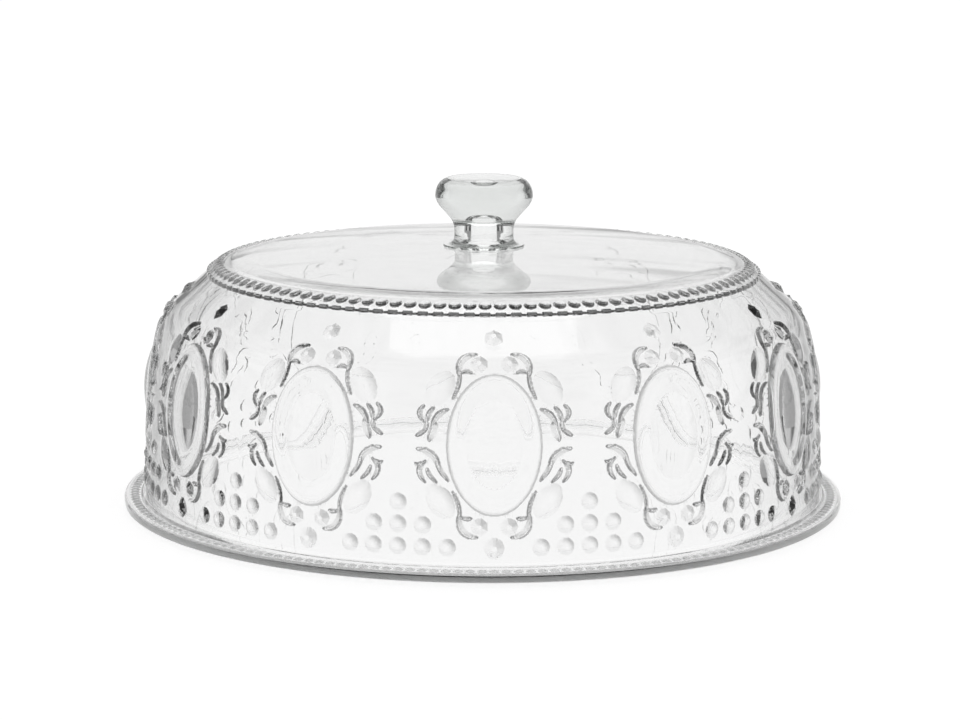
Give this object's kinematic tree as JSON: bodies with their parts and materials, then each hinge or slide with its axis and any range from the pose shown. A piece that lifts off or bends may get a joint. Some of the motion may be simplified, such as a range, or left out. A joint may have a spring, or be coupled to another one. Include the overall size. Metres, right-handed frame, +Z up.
{
  "type": "domed cake plate",
  "caption": "Clear acrylic cake plate with a low domed cover, pressed oval medallions, scrolls, cut drops, dots, a beaded band and a hollow knob",
  "frame": {"origin": "centre of the plate's foot ring, on the surface it stands on", "axes": "+Z up through the knob, -Y towards the front medallion, +X to the right of it"},
  "size_m": [0.33, 0.33, 0.1498],
  "materials": {
    "plate_acrylic": "polished clear acrylic, injection moulded",
    "dome_acrylic": "polished clear acrylic, injection moulded",
    "knob_acrylic": "polished clear acrylic, turned and bonded"
  },
  "bodies": {
    "root": {"plate": "plate_acrylic", "dome": "dome_acrylic", "knob": "knob_acrylic"}
  },
  "joints": []
}
